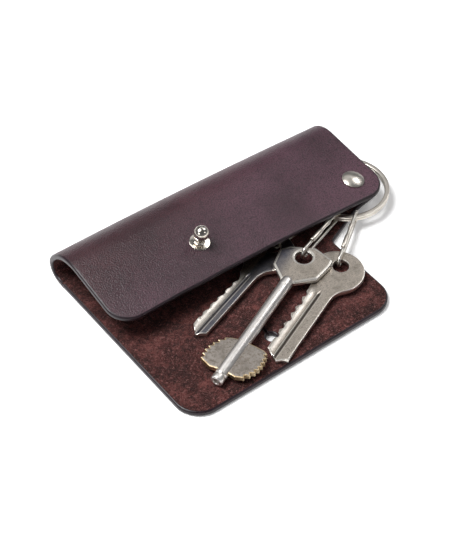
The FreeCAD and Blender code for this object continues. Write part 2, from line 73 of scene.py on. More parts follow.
def make_camera():
    """From the front and well above, turned to the left, through a long lens."""
    target = Vector((-10.6, 6.2, 0.0)) * MM
    distance = 0.54
    azimuth = math.radians(-37.28)
    elevation = math.radians(46.0)
    level = math.cos(elevation)
    back = Vector((math.sin(azimuth) * level, -math.cos(azimuth) * level, math.sin(elevation)))
    data = bpy.data.cameras.new("camera")
    data.sensor_width = 36.0
    data.lens = 95.9
    bpy.context.scene.camera = aimed("camera", data, target + back * distance, -back)


def area_light(name, place, size, power):
    """A white soft box at place, turned towards the origin."""
    data = bpy.data.lights.new(name, "AREA")
    data.shape = "RECTANGLE"
    data.size, data.size_y = size
    data.energy = power
    aimed(name, data, place, -Vector(place))


def make_surround():
    """A grey world, lighter at the horizon than overhead."""
    world = bpy.data.worlds.new("surround")
    bpy.context.scene.world = world
    world.use_nodes = True
    nodes = world.node_tree.nodes
    links = world.node_tree.links
    nodes.clear()
    kinds = ("OutputWorld", "Background", "TexCoord", "SeparateXYZ", "ValToRGB")
    out, back, where, split, ramp = (nodes.new("ShaderNode" + kind) for kind in kinds)
    horizon, overhead = ramp.color_ramp.elements
    horizon.position, horizon.color = 0.0, (0.18, 0.18, 0.19, 1)
    overhead.position, overhead.color = 0.75, (0.06, 0.06, 0.065, 1)
    links.new(where.outputs["Generated"], split.inputs[0])
    links.new(split.outputs["Z"], ramp.inputs[0])
    links.new(ramp.outputs[0], back.inputs["Color"])
    links.new(back.outputs[0], out.inputs[0])


def make_floor():
    """A white floor, a hair below the leather so that the two never share a plane."""
    mesh = bpy.data.meshes.new("floor")
    half, gap = 2.0, 0.00003
    corners = [(-half, -half, 0), (half, -half, 0), (half, half, 0), (-half, half, 0)]
    mesh.from_pydata(corners, [], [(0, 1, 2, 3)])
    floor = bpy.data.objects.new("floor", mesh)
    floor.location.z = -gap
    bpy.context.collection.objects.link(floor)
    floor.data.materials.append(floor_material())


def make_lights():
    """One strong soft box overhead. The weak ones are what the metal and the edges mirror."""
    bpy.context.scene.view_settings.view_transform = "Standard"
    area_light("top_box", (-0.36, 0.28, 0.89), (0.50, 0.50), 13.0)
    area_light("left_box", (-0.75, -0.15, 0.40), (0.3, 0.3), 0.8)
    area_light("back_panel", (0.42, 0.56, 0.72), (0.5, 0.4), 0.38)
    area_light("right_box", (0.66, 0.04, 0.76), (0.42, 0.42), 2.2)
    area_light("front_box", (0.38, -0.74, 0.55), (0.2, 0.2), 0.5)


# ---------------- material helpers
def rgba(colour):
    """(r, g, b) or one grey, as a full colour."""
    return (*colour, 1) if hasattr(colour, "__len__") else (colour, colour, colour, 1)


class Nodes:
    """A material's node tree with short ways to add nodes and wire them.

    The named values are the shader's own inputs, with _ for a space."""

    def __init__(self, name, **values):
        self.material = bpy.data.materials.new(name)
        self.material.use_nodes = True
        self.tree = self.material.node_tree
        self.shader = self.tree.nodes["Principled BSDF"]
        for key, value in values.items():
            self.shader.inputs[key.replace("_", " ")].default_value = value

    def add(self, kind, inputs=(), **settings):
        """A node with its settings, and its inputs as pairs of a name and a value."""
        node = self.tree.nodes.new("ShaderNode" + kind)
        for key, value in settings.items():
            setattr(node, key, value)
        for key, value in inputs:
            node.inputs[key].default_value = value
        return node

    def link(self, source, target):
        self.tree.links.new(source, target)

    def feed(self, target, value):
        """Wire a socket into target, or set a number or (r, g, b) on it."""
        if hasattr(value, "links"):
            self.link(value, target)
        else:
            target.default_value = rgba(value) if hasattr(value, "__len__") else value

    def coordinates(self, stretch=(1, 1, 1)):
        where = self.add("TexCoord")
        scale = self.add("Mapping", [("Scale", stretch)])
        self.link(where.outputs["Object"], scale.inputs["Vector"])
        return scale.outputs["Vector"]

    def noise(self, scale, detail=4.0, roughness=0.6, stretch=(1, 1, 1), distortion=0.0):
        values = [("Scale", scale), ("Detail", detail), ("Roughness", roughness)]
        node = self.add("TexNoise", values + [("Distortion", distortion)])
        self.link(self.coordinates(stretch), node.inputs["Vector"])
        return node.outputs["Fac"]

    def cells(self, scale, smooth):
        values = [("Scale", scale), ("Smoothness", smooth)]
        node = self.add("TexVoronoi", values, feature="SMOOTH_F1")
        self.link(self.coordinates(), node.inputs["Vector"])
        return node.outputs["Distance"]

    def ramp(self, source, *stops):
        """Colours or greys at positions: (position, (r, g, b) or grey), ..."""
        node = self.add("ValToRGB")
        elements = node.color_ramp.elements
        while len(elements) < len(stops):
            elements.new(0.5)
        for element, (position, colour) in zip(elements, stops):
            element.position = position
            element.color = rgba(colour)
        self.link(source, node.inputs[0])
        return node.outputs[0]

    def mix(self, factor, first, second):
        """The colour first at factor 0, and second at factor 1."""
        node = self.add("Mix", data_type="RGBA")
        for socket, value in ((0, factor), (6, first), (7, second)):
            self.feed(node.inputs[socket], value)
        return node.outputs[2]

    def along(self, direction, start, end, ease="SMOOTHSTEP"):
        """0 to 1 as the position, in metres, moves along direction from start to end."""
        where = self.add("TexCoord")
        reach = self.add("VectorMath", [(1, direction)], operation="DOT_PRODUCT")
        self.link(where.outputs["Object"], reach.inputs[0])
        limits = [("From Min", start), ("From Max", end)]
        share = self.add("MapRange", limits, interpolation_type=ease)
        self.link(reach.outputs["Value"], share.inputs["Value"])
        return share.outputs["Result"]

    def times(self, first, second, operation="MULTIPLY"):
        node = self.add("Math", operation=operation)
        self.feed(node.inputs[0], first)
        self.feed(node.inputs[1], second)
        return node.outputs[0]

    def plus(self, first, second):
        return self.times(first, second, "ADD")

    def bump(self, height, distance, strength, after=None):
        node = self.add("Bump", [("Distance", distance), ("Strength", strength)])
        self.link(height, node.inputs["Height"])
        if after is not None:
            self.link(after, node.inputs["Normal"])
        return node.outputs["Normal"]

    def finish(self, colour, roughness=None, normal=None):
        """Wire up the shader and hand over the material."""
        wires = (("Base Color", colour), ("Roughness", roughness), ("Normal", normal))
        for name, source in wires:
            if source is not None:
                self.link(source, self.shader.inputs[name])
        return self.material


def floor_material():
    """Matt white, with a faint glow that keeps the shadows light."""
    n = Nodes(
        "white_floor", Roughness=0.9, Specular_IOR_Level=0.0,
        Emission_Color=(1.0, 1.0, 1.0, 1), Emission_Strength=0.20,
    )
    return n.finish(n.ramp(n.noise(30.0), (0.3, 0.90), (0.7, 0.92)))


def grain_leather():
    """The smooth outside: burgundy brown, with a painted sheen that makes the front lighter and
    bluer, and a fine pebble grain.
    """
    n = Nodes(
        "grain_leather", Specular_IOR_Level=0.42, Coat_Weight=0.06, Coat_Roughness=0.30,
        Sheen_Weight=0.05, Sheen_Roughness=0.4, Sheen_Tint=(0.75, 0.65, 0.9, 1),
    )
    cloud = n.noise(28.0)
    red = n.ramp(cloud, (0.36, (0.026, 0.007, 0.010)), (0.64, (0.054, 0.015, 0.020)))
    painted_sheen_colour = n.ramp(cloud, (0.36, (0.048, 0.019, 0.028)), (0.64, (0.096, 0.042, 0.061)))
    # painted sheen: the front of the cover is painted lighter and bluer than the back
    base = n.mix(n.along((0.35, -0.94, 0.0), -0.042, -0.008), red, painted_sheen_colour)
    speckle = n.noise(2000.0, detail=3.0, roughness=0.7)
    colour = n.mix(n.ramp(speckle, (0.40, 0.85), (0.54, 0.0)), base, (0.012, 0.005, 0.008))
    roughness = n.ramp(n.noise(60.0), (0.3, 0.34), (0.7, 0.48))
    pebble = n.bump(n.cells(1900.0, 0.35), 0.00027, 0.65)
    wrinkle = n.noise(420.0, detail=6.0, distortion=0.6)
    return n.finish(colour, roughness, n.bump(wrinkle, 0.00014, 0.12, after=pebble))


def suede_leather():
    """The raw inside: reddish brown, mottled, with short rough fibres."""
    n = Nodes(
        "suede_leather", Roughness=0.95, Specular_IOR_Level=0.10,
        Sheen_Weight=0.15, Sheen_Roughness=0.5, Sheen_Tint=(0.9, 0.6, 0.55, 1),
    )
    blotch = n.noise(170.0, detail=5.0, roughness=0.7)
    tuft = n.noise(900.0, detail=6.0, roughness=0.9, distortion=1.5)
    mixed = n.plus(n.times(blotch, 0.42), n.times(tuft, 0.58))
    dark, plain, light = (0.009, 0.002, 0.002), (0.058, 0.013, 0.012), (0.205, 0.064, 0.057)
    nap = n.ramp(mixed, (0.43, dark), (0.50, plain), (0.58, light))
    pits = n.ramp(n.noise(1150.0, detail=3.0, distortion=0.8), (0.39, 0.9), (0.50, 0.0))
    fibres = n.ramp(n.noise(1300.0, detail=3.0, distortion=1.0), (0.55, 0.0), (0.66, 0.8))
    colour = n.mix(fibres, n.mix(pits, nap, (0.008, 0.003, 0.003)), (0.31, 0.125, 0.115))
    fuzz = n.noise(2600.0, detail=3.0)
    normal = n.bump(fuzz, 0.0003, 0.6, after=n.bump(tuft, 0.0014, 0.9))
    return n.finish(colour, normal=normal)


def edge_leather():
    """The cut edge, dyed and rubbed smooth."""
    n = Nodes("edge_leather", Specular_IOR_Level=0.32)
    streak = n.noise(500.0, stretch=(0.25, 0.25, 1.0))
    colour = n.ramp(streak, (0.3, (0.008, 0.004, 0.006)), (0.7, (0.024, 0.013, 0.018)))
    roughness = n.ramp(n.noise(300.0), (0.3, 0.26), (0.7, 0.36))
    return n.finish(colour, roughness, n.bump(streak, 0.0002, 0.35))


def bright_nickel(name, polished, worn):
    """Nickel plate with faint wiping marks, its roughness between polished and worn."""
    n = Nodes(name, Metallic=1.0)
    marks = n.noise(240.0, detail=6.0, stretch=(1.0, 3.0, 1.0))
    colour = n.ramp(marks, (0.3, (0.66, 0.61, 0.54)), (0.7, (0.78, 0.73, 0.66)))
    return n.finish(colour, n.ramp(n.noise(900.0, detail=5.0), (0.35, polished), (0.7, worn)))


def wire_steel():
    """Nickel-plated spring wire, a little duller, with faint marks."""
    n = Nodes("wire_steel", Metallic=1.0)
    marks = n.noise(900.0, detail=5.0)
    colour = n.ramp(marks, (0.3, (0.60, 0.57, 0.52)), (0.7, (0.68, 0.65, 0.60)))
    return n.finish(colour, n.ramp(marks, (0.3, 0.27), (0.7, 0.32)))


def key_nickel(name, painted_shade_towards, start, end, ridges=None):
    """A used key: nickel plate with scratches, dull patches, and painted blue shade on one side.

    ridges is (across, first, last, stops, along, blade start). Its stops are greys at shares
    of the way across the blade from first to last: dark for painted shade, light for painted
    highlights."""
    n = Nodes(name, Metallic=1.0)
    scratch = n.noise(900.0, detail=8.0, roughness=0.75, stretch=(1.0, 6.0, 1.0), distortion=0.5)
    patch = n.noise(150.0, detail=6.0, roughness=0.65)
    speck = n.noise(2300.0, detail=4.0, roughness=0.8)
    clean = n.ramp(scratch, (0.36, (0.40, 0.345, 0.29)), (0.62, (0.71, 0.64, 0.56)))
    worn = n.mix(n.ramp(patch, (0.32, 0.8), (0.50, 0.0)), clean, (0.27, 0.24, 0.20))
    pitted = n.mix(n.ramp(speck, (0.36, 0.85), (0.46, 0.0)), worn, (0.14, 0.12, 0.10))
    # painted shade: one side of the plate is painted dark blue, broken up by patches
    side = n.along(painted_shade_towards, start, end)
    dull = n.times(side, n.ramp(patch, (0.35, 0.88), (0.7, 0.60)))
    plate = n.mix(dull, pitted, (0.075, 0.085, 0.125))
    if ridges:
        across, first, last, stops, along, blade = ridges
        tone = n.ramp(n.along(across, first, last, "LINEAR"), *stops)
        on_blade = n.along(along, blade, blade + 0.002)
        # painted shade in the groove floors where the greys are low, painted highlights on the
        # bands and groove edges where they are high
        painted_groove_shade = n.times(n.ramp(tone, (0.1, 0.85), (0.45, 0.0)), on_blade)
        painted_highlight = n.times(n.ramp(tone, (0.55, 0.0), (0.9, 0.85)), on_blade)
        plate = n.mix(painted_highlight, n.mix(painted_groove_shade, plate, (0.06, 0.05, 0.045)), (0.92, 0.87, 0.80))
    normal = n.bump(speck, 0.00001, 0.4, after=n.bump(scratch, 0.00002, 0.5))
    return n.finish(plate, n.ramp(patch, (0.3, 0.44), (0.65, 0.26)), normal)


def key_shank_steel():
    """The lever key's round shank: bright, with fine scratches along it."""
    n = Nodes("key_shank_steel", Metallic=1.0)
    scratch = n.noise(900.0, detail=7.0, roughness=0.75, stretch=(0.5, 1.0, 1.0))
    colour = n.ramp(scratch, (0.35, (0.72, 0.68, 0.64)), (0.65, (0.94, 0.91, 0.88)))
    roughness = n.ramp(scratch, (0.3, 0.42), (0.7, 0.36))
    return n.finish(colour, roughness, n.bump(scratch, 0.000003, 0.4))


def key_edge_nickel():
    """The keys' rubbed edges: cleaner and brighter than the faces."""
    n = Nodes("key_edge_nickel", Metallic=1.0)
    marks = n.noise(1100.0, detail=5.0)
    colour = n.ramp(marks, (0.3, (0.66, 0.62, 0.55)), (0.7, (0.88, 0.85, 0.80)))
    roughness = n.ramp(marks, (0.3, 0.38), (0.7, 0.26))
    return n.finish(colour, roughness, n.bump(marks, 0.000015, 0.4))


def bit_face_metal():
    """The flat of the bit: dull grey plate with dark specks."""
    n = Nodes("bit_face_metal", Metallic=1.0)
    speck = n.noise(1100.0, detail=8.0, roughness=0.8)
    patch = n.noise(200.0, detail=5.0)
    tone = n.ramp(patch, (0.35, (0.24, 0.215, 0.19)), (0.65, (0.46, 0.415, 0.375)))
    colour = n.mix(n.ramp(speck, (0.38, 0.9), (0.52, 0.0)), tone, (0.16, 0.13, 0.10))
    roughness = n.ramp(patch, (0.3, 0.5), (0.7, 0.36))
    return n.finish(colour, roughness, n.bump(speck, 0.00004, 0.6))


def key_brass():
    """The edge of the lever key's bit: plate worn through to brass."""
    n = Nodes("key_brass", Metallic=1.0)
    wear = n.noise(330.0, detail=7.0, roughness=0.7)
    dull, plain, bright = (0.31, 0.22, 0.12), (0.53, 0.41, 0.25), (0.74, 0.60, 0.40)
    colour = n.ramp(wear, (0.34, dull), (0.50, plain), (0.66, bright))
    roughness = n.ramp(wear, (0.3, 0.50), (0.7, 0.32))
    return n.finish(colour, roughness, n.bump(n.noise(1400.0, detail=6.0), 0.00003, 0.5))


# ---------------- mesh helpers
TOO_SHORT = 1e-4  # two points this close are one
TOLERANCE = 1e-6
ROW_RISE = 0.87  # rows of a triangle grid, as a share of its spacing
CLEAR_OF_EDGE = 0.6  # the closest that grid points come to others, as a share of the spacing
CLEAR_OF_LINE = 0.15  # the same for extra points, in millimetres


def clamped(value):
    return min(1.0, max(0.0, value))


def eased(value):
    """0 to 1, with a gentle start and end."""
    share = clamped(value)
    return share * share * (3 - 2 * share)


def on_circle(centre, radius, degrees):
    angle = math.radians(degrees)
    return (centre[0] + radius * math.cos(angle), centre[1] + radius * math.sin(angle))


def arc_points(centre, radius, start, end, step=0.8):
    """Points along an arc from one angle to another, about step apart."""
    count = max(4, int(abs(math.radians(end - start)) * radius / step))
    angles = [start + (end - start) * i / count for i in range(count + 1)]
    return [on_circle(centre, radius, angle) for angle in angles]


def even_loop(points, step):
    """The same closed outline, with its long runs divided and its double points left out."""
    loop = []
    for start, end in zip(points, points[1:] + points[:1]):
        length = math.dist(start, end)
        if length < TOO_SHORT:
            continue
        count = max(1, round(length / step))
        for i in range(count):
            t = i / count
            loop.append(tuple(start[k] + (end[k] - start[k]) * t for k in (0, 1)))
    return loop


def signed_area(loop):
    return 0.5 * sum(a[0] * b[1] - b[0] * a[1] for a, b in zip(loop, loop[1:] + loop[:1]))


def inward_normals(loop, inside):
    """Unit normals of a closed loop; inside is 1 for an outline and -1 for a hole."""
    turn = inside if signed_area(loop) > 0 else -inside
    normals = []
    for before, after in zip(loop[-1:] + loop[:-1], loop[1:] + loop[:1]):
        dx, dy = after[0] - before[0], after[1] - before[1]
        length = math.hypot(dx, dy) or 1.0
        normals.append((-dy / length * turn, dx / length * turn))
    return normals


def bend_point(start, middle, end, t):
    """A point on the curve that leaves start towards middle and arrives at end."""
    weights = ((1 - t) ** 2, 2 * t * (1 - t), t ** 2)
    corners = (start, middle, end)
    return tuple(sum(w * c[k] for w, c in zip(weights, corners)) for k in (0, 1))


def soft_corner(before, here, after, radius, shares):
    """Points at the given shares of a curve that cuts the corner at here."""
    most = 0.45  # of the way to the next corner
    a, b, c = Vector(before), Vector(here), Vector(after)
    cut = min(radius, (a - b).length * most, (c - b).length * most)
    start = b + (a - b).normalized() * cut
    end = b + (c - b).normalized() * cut
    return [bend_point(start, b, end, t) for t in shares]


def soft_corners(points, radius):
    """A closed outline with its corners rounded."""
    result = []
    for before, here, after in zip(points[-1:] + points[:-1], points, points[1:] + points[:1]):
        result += soft_corner(before, here, after, radius, (0.0, 0.33, 0.67, 1.0))
    return result


def shifted(loop, normals, inset):
    return [(p[0] + q[0] * inset, p[1] + q[1] * inset) for p, q in zip(loop, normals)]


def inside_loop(point, loop):
    x, y = point
    result = False
    for (ax, ay), (bx, by) in zip(loop, loop[1:] + loop[:1]):
        if (ay > y) != (by > y) and x < (bx - ax) * (y - ay) / (by - ay) + ax:
            result = not result
    return result


class Crowd:
    """Points kept in square cells, to ask quickly whether one is close to a new point."""

    def __init__(self, points, cell):
        self.cell = cell
        self.cells = {}
        for point in points:
            self.add(point)

    def key(self, point):
        return (math.floor(point[0] / self.cell), math.floor(point[1] / self.cell))

    def add(self, point):
        self.cells.setdefault(self.key(point), []).append(point)

    def near(self, point, distance):
        column, row = self.key(point)
        for i in (column - 1, column, column + 1):
            for j in (row - 1, row, row + 1):
                for other in self.cells.get((i, j), ()):
                    if math.dist(point, other) < distance:
                        return True
        return False


def sheet_mesh(name, outline, place, spacing, profile, holes=(), extra=(), soften=None):
    """A closed plate with shaped edges, in millimetres.

    outline and holes are loops of (u, v). place(u, v, t) gives the point in space at share t
    of the thickness. profile lists (inset, t) from the top face round to the bottom face.
    extra are points to keep in the faces, along grooves. soften(point) scales the rounding of
    the outline, for an edge that meets a neighbour.
    Faces get material 0 on the t = 1 side, 1 on the t = 0 side, 2 round the edge."""
    inward = inward_normals(outline, 1)
    if soften:
        inward = [(q[0] * soften(p), q[1] * soften(p)) for p, q in zip(outline, inward)]
    loops = [(outline, inward)]
    loops += [(hole, inward_normals(hole, -1)) for hole in holes]
    rings = [shifted(loop, normals, profile[0][0]) for loop, normals in loops]

    def on_plate(point):
        return inside_loop(point, rings[0]) and not any(
            inside_loop(point, ring) for ring in rings[1:]
        )

    flat = [p for ring in rings for p in ring]
    edges = []
    start = 0
    for ring in rings:
        count = len(ring)
        edges += [(start + i, start + (i + 1) % count) for i in range(count)]
        start += count
    crowd = Crowd(flat, spacing)
    inner = []
    for point in extra:
        if not crowd.near(point, CLEAR_OF_LINE) and on_plate(point):
            inner.append(point)
            crowd.add(point)
    low = [min(p[k] for p in outline) for k in (0, 1)]
    high = [max(p[k] for p in outline) for k in (0, 1)]
    rise = spacing * ROW_RISE
    for row in range(int((high[1] - low[1]) / rise) + 2):
        for column in range(int((high[0] - low[0]) / spacing) + 2):
            point = (low[0] + (column + (row % 2) / 2) * spacing, low[1] + row * rise)
            if not crowd.near(point, spacing * CLEAR_OF_EDGE) and on_plate(point):
                inner.append(point)
    made = delaunay_2d_cdt([Vector(p) for p in flat + inner], edges, [], 0, TOLERANCE)
    verts, faces, origins = made[0], made[2], made[3]
    source = {}
    for number, inputs in enumerate(origins):
        for given in inputs:
            source[given] = number

    bm = bmesh.new()
    top = [bm.verts.new(Vector(place(v[0], v[1], 1.0)) * MM) for v in verts]
    bottom = [bm.verts.new(Vector(place(v[0], v[1], 0.0)) * MM) for v in verts]
    for face in faces:
        if not on_plate([sum(verts[i][k] for i in face) / len(face) for k in (0, 1)]):
            continue
        bm.faces.new([top[i] for i in face]).material_index = 0
        bm.faces.new([bottom[i] for i in reversed(face)]).material_index = 1
    start = 0
    for loop, normals in loops:
        count = len(loop)
        previous = [top[source[start + i]] for i in range(count)]
        for inset, t in profile[1:-1]:
            points = [place(u, v, t) for u, v in shifted(loop, normals, inset)]
            current = [bm.verts.new(Vector(point) * MM) for point in points]
            join_rings(bm, previous, current)
            previous = current
        join_rings(bm, previous, [bottom[source[start + i]] for i in range(count)])
        start += count
    loose = [v for v in bm.verts if not v.link_faces]
    bmesh.ops.delete(bm, geom=loose, context="VERTS")
    return finish_mesh(name, bm)


def round_rim(thick, rim, steps):
    """Edge profile of a plate whose corners are rounded by rim: (inset, share of thickness)."""
    levels = []
    for k in range(steps + 1):
        angle = math.pi / 2 * k / steps
        levels.append((rim * (1 - math.sin(angle)), 1 - rim / thick * (1 - math.cos(angle))))
    return levels + [(inset, 1 - t) for inset, t in reversed(levels)]


def join_rings(bm, first, second, material=2):
    count = len(first)
    for i in range(count):
        j = (i + 1) % count
        bm.faces.new((first[i], first[j], second[j], second[i])).material_index = material


def finish_mesh(name, bm, placement=None, crease_angle=180.0):
    """Turn a bmesh into a smooth object, with sharp edges above crease_angle degrees."""
    bmesh.ops.recalc_face_normals(bm, faces=bm.faces)
    mesh = bpy.data.meshes.new(name)
    bm.to_mesh(mesh)
    bm.free()
    if placement is not None:
        mesh.transform(placement)
    mesh.shade_smooth()
    mesh.set_sharp_from_angle(angle=math.radians(crease_angle))
    piece = bpy.data.objects.new(name, mesh)
    bpy.context.collection.objects.link(piece)
    return piece


def lathe(name, profile, placement, segments=72):
    """A turned piece: profile is (radius, height) from the axis at one end to the other."""
    bm = bmesh.new()
    rings = []
    for radius, height in profile:
        if radius < TOLERANCE:
            rings.append([bm.verts.new(Vector((0, 0, height)) * MM)])
            continue
        ring = [(*on_circle((0, 0), radius, 360 * i / segments), height) for i in range(segments)]
        rings.append([bm.verts.new(Vector(point) * MM) for point in ring])
    for low, high in zip(rings, rings[1:]):
        for i in range(segments):
            j = (i + 1) % segments
            corners = [low[i % len(low)], low[j % len(low)]]
            corners += [high[j % len(high)], high[i % len(high)]]
            unique = list(dict.fromkeys(corners))
            if len(unique) > 2:
                bm.faces.new(unique)
    return finish_mesh(name, bm, placement, 40.0)


def sweep(name, path, section, up, placement=None):
    """A bar along a path, in millimetres: section(k) gives the (side, up) outline at point k."""
    bm = bmesh.new()
    rings = []
    count = len(path)
    for k, point in enumerate(path):
        before = path[max(k - 1, 0)]
        after = path[min(k + 1, count - 1)]
        along = (Vector(after) - Vector(before)).normalized()
        side = along.cross(Vector(up)).normalized()
        rise = side.cross(along)
        corners = [Vector(point) + side * a + rise * b for a, b in section(k)]
        rings.append([bm.verts.new(corner * MM) for corner in corners])
    for first, second in zip(rings, rings[1:]):
        join_rings(bm, first, second, 0)
    bm.faces.new(rings[0])
    bm.faces.new(rings[-1])
    return finish_mesh(name, bm, placement, 50.0)


def round_section(radius, sides):
    return [on_circle((0, 0), radius, 360 * i / sides) for i in range(sides)]


def dress(piece, body, nodes, slot, *materials):
    """Give a piece its materials and its body, and hide the CAD nodes it stands for. The slot is
    not used.
    """
    for material in materials:
        piece.data.materials.append(material)
    if body:
        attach(piece, body)
    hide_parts(*nodes)


def box_mm(node):
    low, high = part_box(node)
    return [c / MM for c in low], [c / MM for c in high]


def middle_of(node):
    low, high = box_mm(node)
    return [(a + b) / 2 for a, b in zip(low, high)]


# ---------------- sizes shared by the pieces
flap_low, flap_high = box_mm("closing_flap")
panel_low, panel_high = box_mm("back_panel")
LEATHER = panel_high[2] - panel_low[2]
LEFT, RIGHT = panel_low[0], panel_high[0]
CREASE = panel_low[1]
SPINE_START = panel_high[1]
FLAP_FRONT = flap_low[1]
FLAP_RIGHT = flap_high[0]
FLAP_CORNER = 10.0
LEATHER_RIM = round_rim(LEATHER, 0.7, 4)
SEAM_ROUNDING = 0.03  # share of the edge's rounding where the base and the cover meet
AT_SEAM = 0.05  # how close to the seam counts as on it
LEATHER_GRID = 1.6  # between the points in the leather's faces
NOTCH_RADIUS = 2.5
COVER_FRONT = -3.0
COVER_CORNER = 9.5
FOLD_BACK = 44.5
BUTTON_HOLE = (-18.8, -31.0)
HOLE_RADIUS = 1.9
RIVET = middle_of("rivet_post")
STUD = (-18.8, 11.65)
GAP = 0.05  # between the leather and the metal on it


# ---------------- leather
def wave(x, y):
    """Slow unevenness of the leather, less than a fifth of a millimetre either way."""
    broad = 0.12 * math.sin(0.11 * x + 0.7) * math.cos(0.13 * y + 0.4)
    fine = 0.06 * math.sin(0.29 * x - 0.21 * y)
    return broad + fine


def base_outline():
    """Back panel and closing flap as one cut, with the corner below the rivet cut away."""
    corner = FLAP_CORNER
    notch = (FLAP_RIGHT + NOTCH_RADIUS, CREASE)
    steep, gentle = 24.0, 9.7
    tab_corner, below_rivet = 3.8, 0.7
    tab = (RIGHT - tab_corner, RIVET[1] - below_rivet)
    start = on_circle(notch, NOTCH_RADIUS, 90 + steep)
    end = on_circle(tab, tab_corner, 270 + gentle)
    steep_rise, gentle_rise = math.tan(math.radians(steep)), math.tan(math.radians(gentle))
    run = end[0] - start[0]
    along = (end[1] - start[1] - gentle_rise * run) / (steep_rise - gentle_rise)
    bend = (start[0] + along, start[1] + along * steep_rise)
    soft = 4.0
    before = (bend[0] - soft, bend[1] - soft * steep_rise)
    after = (bend[0] + soft, bend[1] + soft * gentle_rise)
    points = arc_points((LEFT + corner, FLAP_FRONT + corner), corner, 180, 270)
    points += arc_points((FLAP_RIGHT - corner, FLAP_FRONT + corner), corner, 270, 360)
    points += arc_points(notch, NOTCH_RADIUS, 180, 90 + steep, 0.5)
    points += [before, bend_point(before, bend, after, 0.5), after]
    points += arc_points(tab, tab_corner, 270 + gentle, 360)
    points += [(RIGHT, SPINE_START), (LEFT, SPINE_START)]
    return even_loop(points, 1.0)


def button_hole():
    """A round hole with a slit towards the crease."""
    half, length = 0.08, 4.5
    turn = math.degrees(math.asin(half / HOLE_RADIUS))
    points = arc_points(BUTTON_HOLE, HOLE_RADIUS, 90 + turn, 450 - turn, 0.4)
    top = BUTTON_HOLE[1] + HOLE_RADIUS + length
    points += [(BUTTON_HOLE[0] + half, top), (BUTTON_HOLE[0] - half, top)]
    return even_loop(points, 0.5)


def base_point(u, v, t):
    """The sheet on the table, its front edge slightly raised in the middle."""
    wave_share, seam_fade = 0.15, 10.0
    front_lift, reach, middle, wide = 0.2, 12.0, 5.0, 45.0
    lift = wave(u, v) * wave_share * clamped((SPINE_START - v) / seam_fade)
    edge = min(v - FLAP_FRONT, reach) / reach
    lift += front_lift * (1 - edge) ** 2 * math.exp(-((u - middle) / wide) ** 2)
    return (u, v, LEATHER * t + max(0.0, lift))


def make_base():
    piece = sheet_mesh(
        "leather_base", base_outline(), base_point, LEATHER_GRID, LEATHER_RIM,
        [button_hole()],
        soften=lambda p: SEAM_ROUNDING if p[1] > SPINE_START - AT_SEAM else 1.0,
    )
    dress(piece, None, ["back_panel", "closing_flap"], "leather", SUEDE, GRAIN, EDGE)
    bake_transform(piece)


# Sections across the case: (x, fold radius, crown radius, join in degrees, slope in degrees)
SECTIONS = [
    (LEFT, 6.5, 18.0, 30.0, 12.0),
    (4.0, 6.3, 17.1, 31.0, 10.0),
    (RIGHT, 5.0, 12.4, 40.0, 6.0),
]


def section_shape(section):
    """Arc centres and run lengths of one section, from the front edge back."""
    _, fold_radius, crown_radius, join, slope = section
    fold = (FOLD_BACK - fold_radius, fold_radius)
    crown = on_circle(fold, fold_radius - crown_radius, join)
    top = on_circle(crown, crown_radius, 90 + slope)
    reach = (top[0] - COVER_FRONT) / math.cos(math.radians(slope))
    lengths = (
        reach,
        crown_radius * math.radians(90 + slope - join),
        fold_radius * math.radians(90 + join),
        fold[0] - SPINE_START,
    )
    return fold, crown, lengths


def section_point(section, run, share, t):
    """A point on one run of a section: 0 slope, 1 crown, 2 fold, 3 the flat underside."""
    _, fold_radius, crown_radius, join, slope = section
    fold, crown, lengths = section_shape(section)
    inset = LEATHER * (1 - t)
    if run == 0:
        top = on_circle(crown, crown_radius - inset, 90 + slope)
        return on_circle(top, lengths[0] * (1 - share), 180 + slope)
    if run == 1:
        angle = 90 + slope + (join - 90 - slope) * share
        return on_circle(crown, crown_radius - inset, angle)
    if run == 2:
        return on_circle(fold, fold_radius - inset, join + (-90 - join) * share)
    return (fold[0] + (SPINE_START - fold[0]) * share, inset)


SHAPES = [section_shape(section) for section in SECTIONS]


def blend_weights(x):
    """Weights of the three sections at x: a parabola through them."""
    a, b, c = (section[0] for section in SECTIONS)
    return (
        (x - b) * (x - c) / ((a - b) * (a - c)),
        (x - a) * (x - c) / ((b - a) * (b - c)),
        (x - a) * (x - b) / ((c - a) * (c - b)),
    )


def cover_point(x, v, t):
    """The folded leather: x along the case, v the distance back from the front edge."""
    weights = blend_weights(x)
    lengths = [sum(w * s[2][k] for w, s in zip(weights, SHAPES)) for k in range(4)]
    run, left = 0, v
    while run < 3 and left > lengths[run]:
        left -= lengths[run]
        run += 1
    share = left / lengths[run]
    points = [section_point(section, run, share, t) for section in SECTIONS]
    y, z = (sum(w * point[k] for w, point in zip(weights, points)) for k in (0, 1))
    if run == 0:
        edge_wave, inner_wave, edge, fade = 0.8, 0.32, 1.0, 8.0
        inward = clamped((left - edge) / fade)
        z += wave(x, v) * (edge_wave + (inner_wave - edge_wave) * inward) * cover_freedom(x, y)
    return (x, y, z)


def cover_freedom(x, y):
    """0 next to the rivet and the stud, where the metal holds the leather, 1 away from them."""
    held, fade = 5.0, 8.0
    near_rivet = math.hypot(x - RIVET[0], y - RIVET[1])
    near_stud = math.hypot(x - STUD[0], y - STUD[1])
    return clamped((min(near_rivet, near_stud) - held) / fade)


def cover_length(x):
    """The way round the fold at x, from the front edge to the seam."""
    weights = blend_weights(x)
    return sum(w * sum(s[2]) for w, s in zip(weights, SHAPES))


def cover_outline():
    corner = COVER_CORNER
    points = arc_points((LEFT + corner, corner), corner, 180, 270)
    points += arc_points((RIGHT - corner, corner), corner, 270, 360)
    columns = 64
    seam = [RIGHT + (LEFT - RIGHT) * i / columns for i in range(columns + 1)]
    return even_loop(points + [(x, cover_length(x)) for x in seam], 1.0)


